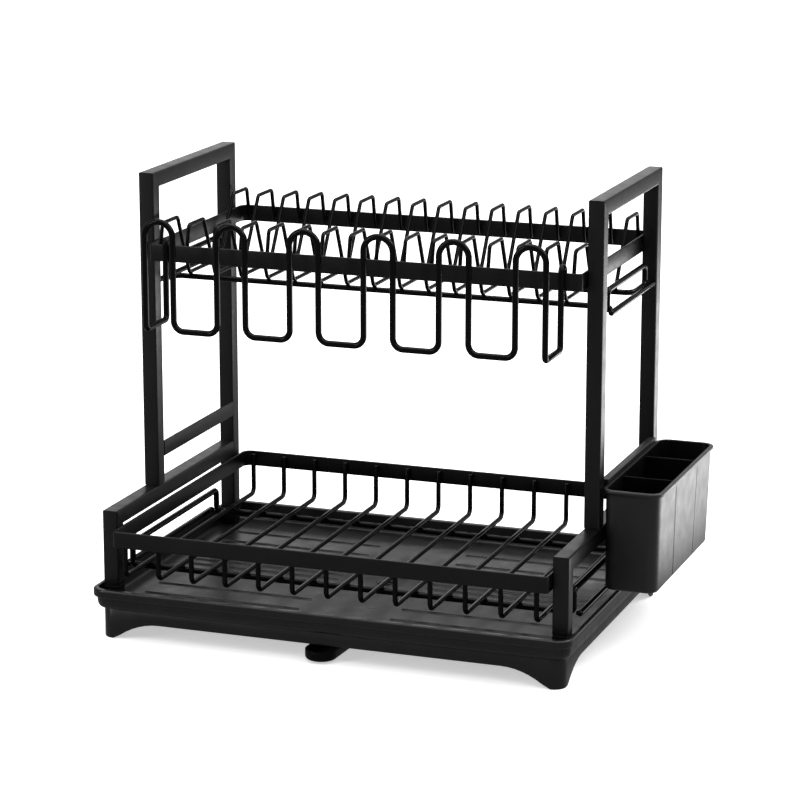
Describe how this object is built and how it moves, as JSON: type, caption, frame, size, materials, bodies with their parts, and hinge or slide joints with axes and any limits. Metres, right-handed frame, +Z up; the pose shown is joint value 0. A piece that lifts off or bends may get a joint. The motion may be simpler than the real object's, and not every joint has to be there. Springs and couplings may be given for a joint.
{
  "type": "dish drying rack",
  "caption": "Two-tier countertop dish drying rack with plate wires, a lower wire basket, a hooked-on cup holder, a hanging cutlery holder and a drip tray with a swivel spout.",
  "frame": {"origin": "bottom centre of the whole object's box, on the surface that the drip tray stands on", "axes": "+X to the right seen from the front, towards the cutlery holder; +Y to the rear, the low open front of the rack faces -Y; +Z up"},
  "size_m": [0.482, 0.31, 0.394],
  "materials": {
    "coated_tube": "satin black powder coat on square tube and flat band",
    "coated_wire": "smooth semi-gloss black coating on round steel wire",
    "tray_plastic": "satin black moulded plastic with a very fine grain",
    "foot_plastic": "dull black plastic end cap"
  },
  "bodies": {
    "tray": {"drip_tray": "tray_plastic"},
    "spout": {"drain_spout": "tray_plastic"},
    "rack": {"left_front_post": "coated_tube", "left_lower_rail": "coated_tube", "left_front_upright": "coated_tube", "left_top_rail": "coated_tube", "left_rear_upright": "coated_tube", "left_cutlery_rail": "coated_tube", "left_front_foot_cap": "foot_plastic", "left_rear_foot_cap": "foot_plastic", "right_front_post": "coated_tube", "right_lower_rail": "coated_tube", "right_front_upright": "coated_tube", "right_top_rail": "coated_tube", "right_rear_upright": "coated_tube", "right_cutlery_rail": "coated_tube", "right_front_foot_cap": "foot_plastic", "right_rear_foot_cap": "foot_plastic", "upper_rim": "coated_tube", "lower_rim": "coated_tube", "plate_wire_01": "coated_wire", "plate_wire_02": "coated_wire", "plate_wire_03": "coated_wire", "plate_wire_04": "coated_wire", "plate_wire_05": "coated_wire", "plate_wire_06": "coated_wire", "plate_wire_07": "coated_wire", "plate_wire_08": "coated_wire", "plate_wire_09": "coated_wire", "plate_wire_10": "coated_wire", "plate_wire_11": "coated_wire", "plate_wire_12": "coated_wire", "plate_wire_13": "coated_wire", "plate_wire_14": "coated_wire", "plate_wire_15": "coated_wire", "plate_wire_16": "coated_wire", "basket_wire_01": "coated_wire", "basket_wire_02": "coated_wire", "basket_wire_03": "coated_wire", "basket_wire_04": "coated_wire", "basket_wire_05": "coated_wire", "basket_wire_06": "coated_wire", "basket_wire_07": "coated_wire", "basket_wire_08": "coated_wire", "basket_wire_09": "coated_wire", "basket_wire_10": "coated_wire", "basket_wire_11": "coated_wire", "basket_wire_12": "coated_wire", "basket_wire_13": "coated_wire", "upper_base_wire": "coated_wire", "lower_base_wire": "coated_wire", "upper_left_side_rod": "coated_wire", "lower_left_side_rod": "coated_wire", "upper_right_side_rod": "coated_wire", "lower_right_side_rod": "coated_wire"},
    "cup_holder": {"cup_holder": "coated_wire"},
    "cutlery_holder": {"cutlery_holder": "tray_plastic"}
  },
  "joints": [
    {"name": "spout_swivel", "type": "hinge", "parent": "tray", "child": "spout", "pos_m": [-0.024, 0, 0.02], "axis": [0, 0, 1], "continuous": true},
    {"name": "rack_lift", "type": "slide", "parent": "tray", "child": "rack", "axis": [0, 0, 1], "range_m": [0, 0.15]},
    {"name": "cup_holder_lift", "type": "slide", "parent": "rack", "child": "cup_holder", "axis": [0, 0, 1], "range_m": [0, 0.04]},
    {"name": "cutlery_holder_lift", "type": "slide", "parent": "rack", "child": "cutlery_holder", "axis": [0, 0, 1], "range_m": [0, 0.05]}
  ]
}
